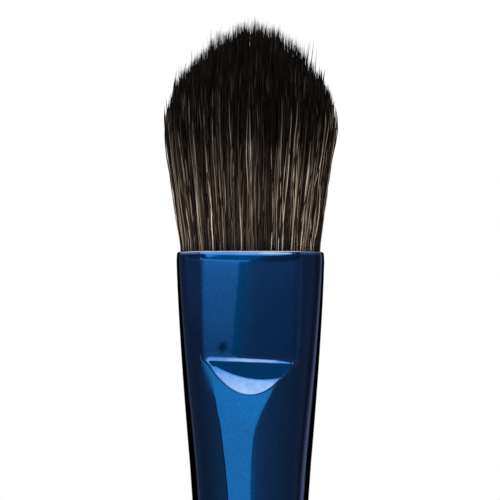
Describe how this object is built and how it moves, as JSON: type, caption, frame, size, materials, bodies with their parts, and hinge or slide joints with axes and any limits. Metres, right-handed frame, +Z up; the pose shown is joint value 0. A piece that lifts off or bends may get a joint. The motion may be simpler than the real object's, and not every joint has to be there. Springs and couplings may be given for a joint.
{
  "type": "eyeshadow blending brush",
  "caption": "Eyeshadow blending brush: domed natural-hair tuft in a pressed oval metal ferrule with half-moon steps, crimped and glued onto a slim turned handle.",
  "frame": {"origin": "centre of the small flat on the handle's butt", "axes": "+Z runs up the brush from the butt to the tip of the hair, the ferrule's two pressed faces look along -Y and +Y, and the width of its flattened mouth runs along X"},
  "size_m": [0.0115, 0.0078, 0.1752],
  "materials": {
    "lacquered_wood": "hardwood under several coats of gloss black lacquer",
    "hard_glue": "hardened adhesive, out of sight inside the ferrule",
    "blue_metal": "polished and anodised deep metallic blue",
    "amber_resin": "cast epoxy, out of sight inside the ferrule",
    "waxed_thread": "waxed binding thread, out of sight inside the ferrule",
    "natural_hair": "fine natural hair, taupe and grey-brown at the roots and near black at the tips"
  },
  "bodies": {
    "root": {"handle": "lacquered_wood", "handle_glue": "hard_glue", "ferrule": "blue_metal", "root_resin": "amber_resin", "root_binding": "waxed_thread", "hair_tuft": "natural_hair"}
  },
  "joints": []
}
